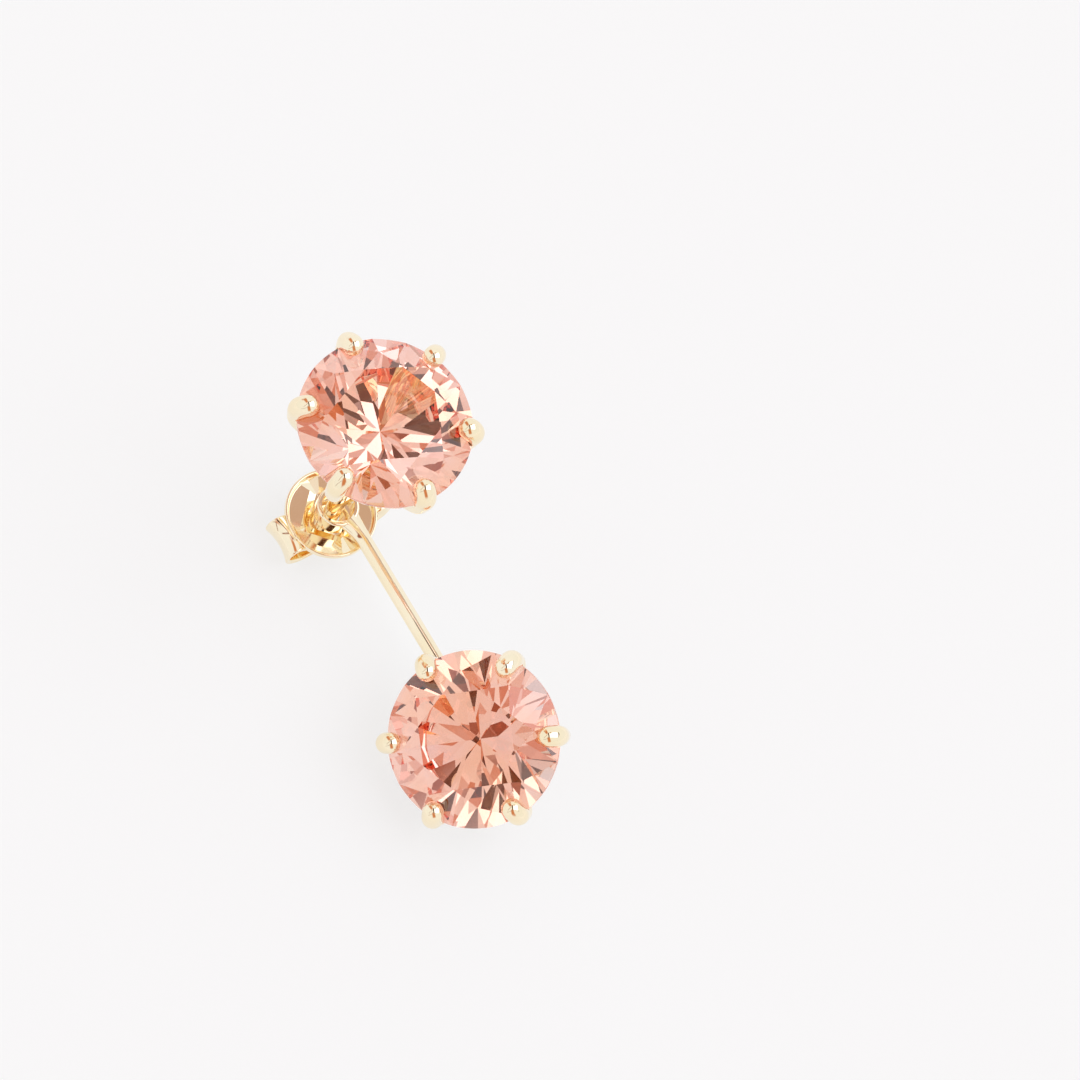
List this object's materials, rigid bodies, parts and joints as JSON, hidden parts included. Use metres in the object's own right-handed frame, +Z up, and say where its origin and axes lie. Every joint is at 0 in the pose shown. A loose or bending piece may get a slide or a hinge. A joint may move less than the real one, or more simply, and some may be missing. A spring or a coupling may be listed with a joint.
{
  "type": "ear jacket",
  "caption": "Stud earring with a six-claw round peach stone, a hanging bar jacket with a second claw-set stone, and a butterfly clutch.",
  "frame": {"origin": "middle of the bounding box's footprint, on the surface that the earring stands on", "axes": "+Z up along the stud's post, which stands upright, out of the stud stone's table; +X from the post along the jacket's bar to the jacket stone; +Y across the bar"},
  "size_m": [0.0216, 0.0084, 0.0144],
  "materials": {
    "gold": "mirror-polished pale yellow gold",
    "peach_stone": "clear, faceted, polished"
  },
  "bodies": {
    "stud": {"stud_setting": "gold", "stud_stone": "peach_stone"},
    "jacket": {"jacket": "gold", "jacket_stone": "peach_stone"},
    "clutch": {"clutch": "gold"}
  },
  "joints": [
    {"name": "jacket_turn", "type": "hinge", "parent": "stud", "child": "jacket", "pos_m": [-0.00638, 0.00011, 0.003], "axis": [0, 0, 1], "continuous": true},
    {"name": "clutch_slide", "type": "slide", "parent": "clutch", "child": "stud", "axis": [0, 0, 1], "range_m": [0, 0.003]}
  ]
}
